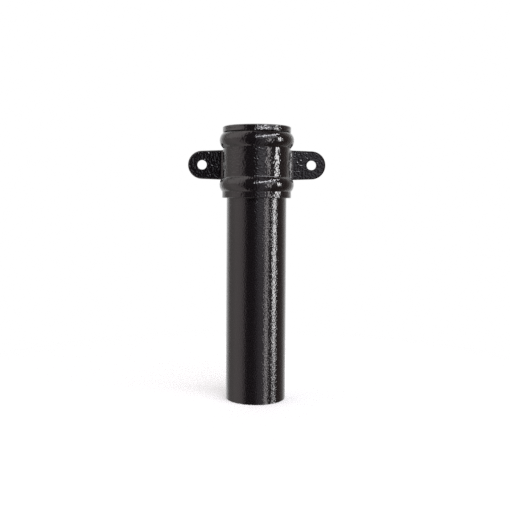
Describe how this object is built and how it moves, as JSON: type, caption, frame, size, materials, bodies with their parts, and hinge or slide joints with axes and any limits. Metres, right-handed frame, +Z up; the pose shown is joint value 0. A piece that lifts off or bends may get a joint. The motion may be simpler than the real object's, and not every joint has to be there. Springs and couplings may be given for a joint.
{
  "type": "downpipe",
  "caption": "Straight round rainwater pipe with a beaded socket at its top end and two flat ears at the back for wall screws, coated black.",
  "frame": {"origin": "centre of the pipe's lower cut end", "axes": "+Z up along the pipe towards the socket's mouth, +X towards the right ear as seen from the room, +Y towards the wall"},
  "size_m": [0.1822, 0.0946, 0.346],
  "materials": {
    "pipe_coating": "black powder coat, semi-gloss, finely textured",
    "socket_coating": "black powder coat, semi-gloss, finely textured over a casting"
  },
  "bodies": {
    "root": {"pipe": "pipe_coating", "eared_socket": "socket_coating"}
  },
  "joints": []
}
